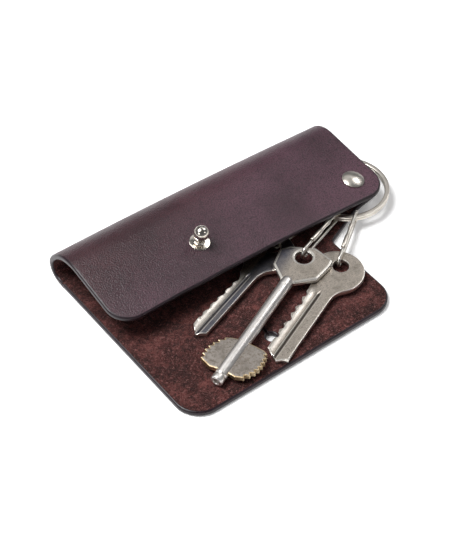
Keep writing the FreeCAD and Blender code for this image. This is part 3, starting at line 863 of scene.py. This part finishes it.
def cover_surface(x, y):
    """The outside point above (x, y) and the outward normal, found by stepping back."""
    low, high = 0.0, FOLD_BACK
    halvings, step = 40, 0.5
    for _ in range(halvings):
        middle = (low + high) / 2
        if cover_point(x, middle, 1.0)[1] < y:
            low = middle
        else:
            high = middle
    here = Vector(cover_point(x, low, 1.0))
    along = Vector(cover_point(x, low + step, 1.0)) - here
    across = Vector(cover_point(x + step, low, 1.0)) - here
    return here, across.cross(along).normalized()


def make_cover():
    piece = sheet_mesh(
        "leather_cover", cover_outline(), cover_point, LEATHER_GRID, LEATHER_RIM,
        soften=lambda p: SEAM_ROUNDING if p[1] > cover_length(p[0]) - AT_SEAM else 1.0,
    )
    dress(piece, None, ["cover_sleeve", "cover_front"], "leather", GRAIN, SUEDE, EDGE)
    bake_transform(piece)


# ---------------- rivet and stud
def standing(point, normal):
    """A placement with its origin at point, in millimetres, and its z along normal."""
    turn = Vector(normal).to_track_quat("Z", "Y").to_matrix().to_4x4()
    return Matrix.Translation(Vector(point) * MM) @ turn


def rounded_profile(corners, radius, steps=3):
    """A profile with its corners softened, keeping its first and last points."""
    shares = [i / steps for i in range(steps + 1)]
    result = [corners[0]]
    for before, here, after in zip(corners, corners[1:], corners[2:]):
        result += soft_corner(before, here, after, radius, shares)
    return result + [corners[-1]]


def ball_profile(radius, centre, angle, steps):
    """The outside of a ball, from angle radians away from its top up to the top."""
    angles = [angle * (1 - i / steps) for i in range(steps + 1)]
    return [(radius * math.sin(a), centre + radius * math.cos(a)) for a in angles]


def make_rivet():
    surface, normal = cover_surface(RIVET[0], RIVET[1])
    radius, rim, dome = 4.4, 0.35, 1.15
    stem, depth = 1.35, 1.25
    profile = [(0, -depth), (stem, -depth), (stem, 0.0), (radius - 0.25, 0.0), (radius, 0.15)]
    sphere = (radius ** 2 + dome ** 2) / (2 * dome)
    profile += ball_profile(sphere, rim + dome - sphere, math.asin(radius / sphere), 14)
    cap = lathe("rivet_dome", profile, standing(surface + normal * GAP, normal))
    dress(cap, "case", ["rivet_cap"], "nickel", NICKEL)
    low, high = box_mm("rivet_post")
    head, post, head_top = 4.4, 1.6, low[2] + 0.7
    corners = [(0, low[2]), (head, low[2]), (head, head_top), (post, head_top),
               (post, high[2]), (0, high[2])]
    base = Matrix.Translation(Vector((RIVET[0], RIVET[1], 0)) * MM)
    stem_piece = lathe("rivet_stem", rounded_profile(corners, 0.2), base)
    dress(stem_piece, "case", ["rivet_post"], "nickel", NICKEL)


def make_stud():
    surface, normal = cover_surface(*STUD)
    place = standing(surface + normal * GAP, normal)
    ball, neck_top, collar = 2.95, 3.0, 2.3
    centre = neck_top + math.sqrt(ball ** 2 - 1.7 ** 2)
    start = math.asin(collar / ball)
    corners = [
        (0, 0), (3.9, 0), (3.9, 0.28), (2.9, 0.44), (1.95, 0.54), (1.55, 0.85), (1.5, 1.3),
        (1.5, 2.75), (1.75, neck_top), (collar, 3.12), (collar, 3.32),
    ]
    ball_start = centre - ball * math.cos(start) - GAP
    profile = [point for point in rounded_profile(corners, 0.2) if point[1] < ball_start]
    profile += ball_profile(ball, centre, math.pi - start, 18)
    stud = lathe("closure_stud", profile, place)
    dress(stud, "cover", ["stud_head"], "nickel", STUD_NICKEL)
    head, slot, shaft = 3.4, 0.9, 1.5
    under = -LEATHER - 2 * GAP
    screw = rounded_profile(
        [(0, under - 0.35), (slot, under - 0.35), (slot + 0.2, under - 0.7),
         (head, under - 0.7), (head, under), (shaft, under), (shaft, -0.02), (0, -0.02)], 0.15
    )
    dress(lathe("stud_back_screw", screw, place), "cover", ["stud_screw"], "nickel", NICKEL)


# ---------------- split ring
def make_ring():
    """One wire wound twice: a flat lower coil, a short climb, and a flat upper coil."""
    low, high = box_mm("split_ring")
    centre = ((low[0] + high[0]) / 2, (low[1] + high[1]) / 2)
    wide, between = 1.8, 0.03
    tall = (high[2] - low[2]) / 2 - between
    radius = (high[0] - low[0]) / 2 - wide / 2
    bottom = low[2] + tall / 2
    top = high[2] - tall / 2
    steps = 300
    start_angle, whole_turn, climb = 62.0, 716.0, 44.0
    path = []
    for i in range(steps + 1):
        turned = whole_turn * i / steps
        rise = eased((turned - (whole_turn - climb) / 2) / climb)
        x, y = on_circle(centre, radius, start_angle + turned)
        path.append((x, y, bottom + (top - bottom) * rise))
    section = rounded_rectangle(wide, tall, 0.28)
    ring = sweep("split_ring_coils", path, lambda k: section, (0, 0, 1))
    dress(ring, "ring", ["split_ring"], "nickel", NICKEL)


def rounded_rectangle(wide, tall, radius):
    points = []
    steps = 3
    for sx, sy, turn in ((1, 1, 0), (-1, 1, 90), (-1, -1, 180), (1, -1, 270)):
        centre = (sx * (wide / 2 - radius), sy * (tall / 2 - radius))
        points += [on_circle(centre, radius, turn + 90 * i / steps) for i in range(steps + 1)]
    return points


# ---------------- spring clips
JOINTS = {joint["name"]: joint for joint in frame["record"]["behaviour"]["joints"]}
WIRE_RADIUS = 0.65
LOOP_RADIUS = 2.2
CLIP_LENGTH = 24.0
GATE_START, GATE_END = 5.9, 19.4
PIN_ALONG = GATE_START + 1.4
CLIP_MIDDLE = LEATHER + GAP + WIRE_RADIUS + LOOP_RADIUS


def clip_placement(side):
    """Origin in the ring-end bend, x towards the key, found from the gate's pivot."""
    gate = JOINTS["gate_%s_open" % side]
    pin = Vector(gate["pos_m"]) / MM
    direction = math.atan2(-gate["axis"][0], gate["axis"][1])
    pitch = math.asin((pin.z - CLIP_MIDDLE - LOOP_RADIUS) / PIN_ALONG)
    turn = Matrix.Rotation(direction, 4, "Z") @ Matrix.Rotation(-pitch, 4, "Y")
    origin = pin - turn @ Vector((PIN_ALONG, 0, LOOP_RADIUS))
    return Matrix.Translation(origin * MM) @ turn


def domed_wire(path, radius):
    """The path with both ends rounded off, and the wire's radius at each of its points."""
    first, last = Vector(path[0]), Vector(path[-1])
    start_out = (first - Vector(path[1])).normalized()
    end_out = (last - Vector(path[-2])).normalized()
    turns = [math.radians(angle) for angle in (80, 60, 40, 20)]
    start = [first + start_out * radius * math.sin(turn) for turn in turns]
    end = [last + end_out * radius * math.sin(turn) for turn in turns[::-1]]
    radii = [radius * math.cos(turn) for turn in turns]
    return start + [Vector(p) for p in path] + end, radii + [radius] * len(path) + radii[::-1]


def wire(name, path, radius, placement):
    points, radii = domed_wire(path, radius)
    return sweep(name, points, lambda k: round_section(radii[k], 24), (0, 1, 0), placement)


def clip_path():
    """The clip's wire: tongue, ring-end bend, lower leg, key-end bend and latch nose."""
    r = LOOP_RADIUS
    points = [(x, r) for x in (PIN_ALONG + 0.6, PIN_ALONG - 1.2, 4.0, 2.0)]
    points += arc_points((0, 0), r, 90, 270, 0.3)
    points += [(x, -r) for x in (4, 8, 12, 16, 20)]
    points += arc_points((CLIP_LENGTH, 0), r, -90, 90, 0.3)
    points += [(x, r) for x in (22.5, 21.0, GATE_END + 0.7)]
    return [(x, 0, z) for x, z in points]


def gate_profile():
    """The sleeve, thin at the pivot and thicker towards the key: (radius, place along)."""
    thin, middle, thick = 0.74, 0.86, 0.95
    corners = [
        (0, GATE_START), (thin, GATE_START), (middle, GATE_START + 0.3), (middle, 8.6),
        (thin, 8.9), (thin, 12.6), (thick, 13.2), (thick, 18.2), (middle, 18.35),
        (middle, 18.6), (thick, 18.75), (thick, GATE_END - 0.25), (0.72, GATE_END),
        (0, GATE_END),
    ]
    return rounded_profile(corners, 0.12, 2)


def quarter_turn(x, z, axis):
    """A placement at (x, 0, z), in millimetres, turned by 90 degrees about the named axis."""
    return Matrix.Translation(Vector((x, 0, z)) * MM) @ Matrix.Rotation(math.pi / 2, 4, axis)


def make_clip(side):
    place = clip_placement(side)
    body = "clip_" + side
    frame_wire = wire(body + "_wire", clip_path(), WIRE_RADIUS, place)
    dress(frame_wire, body, [body + "_frame"], "spring_steel", WIRE)
    along = quarter_turn(0, LOOP_RADIUS, "Y")
    sleeve = lathe(body + "_sleeve", gate_profile(), place @ along, 40)
    dress(sleeve, "gate_" + side, [body + "_gate"], "nickel", NICKEL)
    half, radius = 1.02, 0.35
    pin = rounded_profile([(0, -half), (radius, -half), (radius, half), (0, half)], 0.12)
    across = quarter_turn(PIN_ALONG, LOOP_RADIUS, "X")
    rivet = lathe(body + "_pivot", pin, place @ across, 24)
    dress(rivet, body, [body + "_pin"], "spring_steel", WIRE)


# ---------------- keys
KEY_THICK = 2.0
KEY_HOLE = 3.1
BOW_RADIUS = 10.2
BOW_SHIFT = 3.0
KEY_REACH = 50.0
NECK_RADIUS = 8.0
# key: (blade's cut side, its straight side, height of the teeth, depth of each cut)
BLADES = {
    "left": (3.2, 3.7, 0.5, [1.7, 1.4, 1.3, 0.9, 0.8, 0.6]),
    "right": (5.3, 4.2, 0.9, [0.9, 1.4, 0.9, 1.5, 1.0, 1.3]),
}
# Milled lines along each blade: (middle, half the flat floor, width of the slope on the cut
# side and on the straight side, depth, and the grey of the floor, from 0 for painted shade to
# 0.5 for plain plate and 1 for a painted highlight)
GROOVES = {
    "left": [(-0.6, 0.10, 2.0, 0.40, 0.55, 0.75), (0.9, 0.15, 0.45, 0.45, 0.40, 0.2)],
    "right": [(-1.9, 0.10, 2.0, 0.40, 0.42, 0.50), (-0.5, 0.15, 0.50, 0.50, 0.40, 0.0)],
}
# The grey at the blade's cut side: above 0.5 a highlight is painted there
CUT_SIDE_HIGHLIGHT = {"left": 0.9, "right": 0.65}
# The side of each key painted with blue shade, as the sign of its y, and where that starts and
# ends
PAINTED_SHADE_SIDES = {"left": (1, -0.3, 0.6), "right": (-1, -0.3, 30.0), "centre": (-1, 1.0, 7.0)}
CUT_FIRST, CUT_PITCH = 3.4, 4.4
CUT_HALF, CUT_FLOOR_HALF = 1.6, 0.5
GROOVE_LEAD, GROOVE_EASE = 2.0, 4.0  # how far into the neck the grooves run, and fade


def key_placement(side):
    """Origin in the middle of the key's hole, x towards its tip, from its swing joint."""
    joint = JOINTS["key_%s_swing" % side]
    upright = Vector(joint["axis"]).normalized()
    if upright.z < 0:
        upright.negate()
    tip = Vector((upright.x, upright.y, 0)).normalized()
    tip = (tip - upright * tip.dot(upright)).normalized()
    across = upright.cross(tip)
    turn = Matrix((tip, across, upright)).transposed().to_4x4()
    return Matrix.Translation(Vector(joint["pos_m"])) @ turn


def neck_curve(half):
    """Where the neck leaves the bow (degrees) and where it meets the blade."""
    span = BOW_RADIUS + NECK_RADIUS
    rise = half + NECK_RADIUS
    return math.degrees(math.asin(rise / span)), BOW_SHIFT + math.sqrt(span ** 2 - rise ** 2)


def blade_start(side):
    return neck_curve(BLADES[side][0])[1]


def groove_greys(side):
    """Greys across the blade, from its cut side: (share of the blade's width, grey)."""
    low, high = BLADES[side][:2]
    rim = 0.35
    stops = [(0.0, CUT_SIDE_HIGHLIGHT[side])]
    for middle, half, near, far, _, floor in GROOVES[side]:
        # the greys at each groove's edges paint bright highlight lines; its floor grey paints
        # shade when low and a highlight when high
        for offset, grey in (
            (-half - near - rim, 0.55), (-half - near, 0.9), (-half, floor),
            (half, floor), (half + far, 1.0), (half + far + rim, 0.5),
        ):
            stops.append(((middle + offset + low) / (low + high), grey))
    return sorted(stops)


def key_face(side):
    """The plate, with painted blue shade on one side, painted shade and highlights on the blade.
    """
    place = key_placement(side)
    turn, origin = place.to_3x3(), place.translation
    sign, start, end = PAINTED_SHADE_SIDES[side]
    across = turn @ Vector((0, sign, 0))
    middle = origin.dot(across)
    ridges = None
    if side in GROOVES:
        tip, flank = turn @ Vector((1, 0, 0)), turn @ Vector((0, 1, 0))
        low, high = BLADES[side][:2]
        first = origin.dot(flank) - low * MM
        blade = origin.dot(tip) + (blade_start(side) - 1.0) * MM
        ridges = (flank, first, first + (low + high) * MM, groove_greys(side), tip, blade)
    return key_nickel(
        "key_nickel_" + side, across, middle + start * MM, middle + end * MM, ridges
    )


def key_outline(side):
    """Round bow, curved neck, blade with one V cut for each depth, and a pointed tip."""
    low, high, tooth, depths = BLADES[side]
    low_turn, low_start = neck_curve(low)
    high_turn, high_start = neck_curve(high)
    points = arc_points((BOW_SHIFT, 0), BOW_RADIUS, high_turn, 360 - low_turn, 0.5)
    points += arc_points((low_start, -low - NECK_RADIUS), NECK_RADIUS, 180 - low_turn, 90, 0.5)
    for number, depth in enumerate(depths):
        middle = low_start + CUT_FIRST + number * CUT_PITCH
        floor, edge = -low + depth, -low + depth - tooth
        points += [(middle - CUT_HALF, edge), (middle - CUT_FLOOR_HALF, floor)]
        points += [(middle + CUT_FLOOR_HALF, floor), (middle + CUT_HALF, edge)]
    points += [(KEY_REACH - 2.5, -low + 0.4), (KEY_REACH + 1.3, 0.5), (KEY_REACH, 1.9)]
    points.append((KEY_REACH - 1.2, high))
    centre = (high_start, high + NECK_RADIUS)
    points += arc_points(centre, NECK_RADIUS, 270, 180 + high_turn, 0.5)
    return even_loop(points, 0.5)


def groove_depth(side, u, v):
    """How far the blade's face is cut away, easing in past the neck."""
    ease = eased((u - blade_start(side) + GROOVE_LEAD) / GROOVE_EASE)
    for middle, half, near, far, depth, _ in GROOVES[side]:
        slope = near if v < middle else far
        share = (half + slope - abs(v - middle)) / slope
        if share > 0:
            return depth * ease * min(1.0, share)
    return 0.0


def groove_lines(side):
    points = []
    spacing = 0.7
    start = blade_start(side) - GROOVE_LEAD
    steps = int((KEY_REACH + 1 - start) / spacing)
    for middle, half, near, far, _, _ in GROOVES[side]:
        for offset in (-half - near, -half - near / 2, -half, 0.0, half, half + far):
            points += [(start + spacing * i, middle + offset) for i in range(steps + 1)]
    return points


def settle(piece, place, crease_angle):
    piece.data.transform(place)
    piece.data.set_sharp_from_angle(angle=math.radians(crease_angle))


def key_hole(radius):
    return arc_points((0, 0), radius, 0, 360, 0.5)[:-1]


def make_cylinder_key(side):
    """A flat key, its grooves half as deep on the underside as on top."""
    def point(u, v, t):
        cut = groove_depth(side, u, v)
        top = KEY_THICK / 2 - cut
        bottom = -KEY_THICK / 2 + cut * 0.5
        return (u, v, bottom + (top - bottom) * t)

    piece = sheet_mesh(
        "flat_key_" + side, key_outline(side), point, 0.9,
        round_rim(KEY_THICK, 0.28, 3), [key_hole(KEY_HOLE)], groove_lines(side),
    )
    settle(piece, key_placement(side), 28)
    face = key_face(side)
    dress(piece, "key_" + side, ["cylinder_key_" + side], "key_nickel", face, face, KEY_EDGE)


LEVER_BOW_END = 13.5
LEVER_REACH = 65.7
LEVER_THICK = 2.1
SHANK_RADIUS = 2.35
BIT_START, BIT_END = 45.6, 61.4


def make_lever_bow(place):
    """The many-sided bow with a broad bevel."""
    near_side = [(-2.6, -7.0), (0.5, -9.8), (8.4, -8.5), (LEVER_BOW_END, -2.6)]
    far_side = [(LEVER_BOW_END, 2.5), (7.5, 9.3), (-0.5, 10.6), (-3.8, 10.2), (-6.3, 1.8)]
    outline = near_side + far_side
    profile = [(1.0, 1.0), (0.26, 0.93), (0.08, 0.86), (0.0, 0.76), (0.0, 0.24), (0.08, 0.14),
               (0.26, 0.07), (1.0, 0.0)]
    piece = sheet_mesh(
        "lever_bow", even_loop(soft_corners(outline, 0.5), 0.6),
        lambda u, v, t: (u, v, LEVER_THICK * (t - 0.5)), 1.0, profile, [key_hole(KEY_HOLE + 0.1)],
    )
    settle(piece, place, 16)
    face = key_face("centre")
    dress(piece, "key_centre", ["lever_key_bow"], "key_nickel", face, face, KEY_EDGE)


def make_lever_shank(place):
    """The round shank: domed where it meets the bow, grooved and drilled at the tip."""
    r, end = SHANK_RADIUS, LEVER_REACH
    start = LEVER_BOW_END - 2.2
    profile = [(0, start), (1.2, start + 0.1), (1.9, start + 0.45), (2.3, start + 1.1)]
    profile += rounded_profile(
        [(2.42, start + 2.0), (2.42, start + 4.6), (r, start + 5.0), (r, end - 3.3),
         (r - 0.35, end - 3.0), (r - 0.35, end - 2.6), (r, end - 2.3), (r, end - 0.5),
         (r - 0.5, end), (1.2, end), (1.1, end - 0.2), (1.1, end - 2.0)], 0.12
    )
    profile += [(0, end - 2.2)]
    shank = lathe("lever_shank", profile, place @ quarter_turn(0, 0, "Y"), 64)
    dress(shank, "key_centre", ["lever_key_shank"], "nickel", SHANK)


def bit_lobe(side, start, end, peak_at, peak, teeth):
    """One lobe of the bit as points: pointed teeth along a bulging edge, side is +1 or -1."""
    fall, dip, root = 0.052, 1.2, 1.5
    crest = (0.45, 0.65)  # the crest's two ends, as shares of a tooth
    step = (end - start) / teeth

    def reach(along):
        return peak - fall * (along - peak_at) ** 2

    points = [(BIT_START, side * root)]
    for number in range(teeth):
        left = start + number * step
        points.append((left, side * (reach(left) - dip)))
        points += [(left + c * step, side * reach(left + c * step)) for c in crest]
    points += [(end, side * (reach(end) - dip)), (BIT_END, side * 5.0)]
    return points + [(BIT_END - 0.6, side * root)]


def make_lever_bit(place):
    left = bit_lobe(-1, 46.4, 60.2, 56.0, 10.3, 7)
    right = bit_lobe(1, 46.2, 61.0, 52.0, 11.3, 8)
    outline = even_loop(left + right[::-1], 0.4)
    piece = sheet_mesh(
        "lever_bit", outline, lambda u, v, t: (u, v, KEY_THICK * (t - 0.5)), 0.9,
        [(0.4, 1.0), (0.1, 0.965), (0.0, 0.91), (0.0, 0.09), (0.1, 0.035), (0.4, 0.0)],
    )
    settle(piece, place, 30)
    dress(piece, "key_centre", ["lever_key_bit"], "key_brass", BIT_FACE, BIT_FACE, BRASS)


# ---------------- build
make_camera()
make_surround()
make_floor()
make_lights()
GRAIN = grain_leather()
SUEDE = suede_leather()
EDGE = edge_leather()
NICKEL = bright_nickel("bright_nickel", 0.28, 0.33)
STUD_NICKEL = bright_nickel("stud_nickel", 0.17, 0.21)
WIRE = wire_steel()
KEY_EDGE = key_edge_nickel()
SHANK = key_shank_steel()
BRASS = key_brass()
BIT_FACE = bit_face_metal()

make_base()
make_cover()
make_rivet()
make_stud()
make_ring()
for side in ("left", "centre", "right"):
    make_clip(side)
make_cylinder_key("left")
make_cylinder_key("right")
lever_place = key_placement("centre")
make_lever_bow(lever_place)
make_lever_shank(lever_place)
make_lever_bit(lever_place)
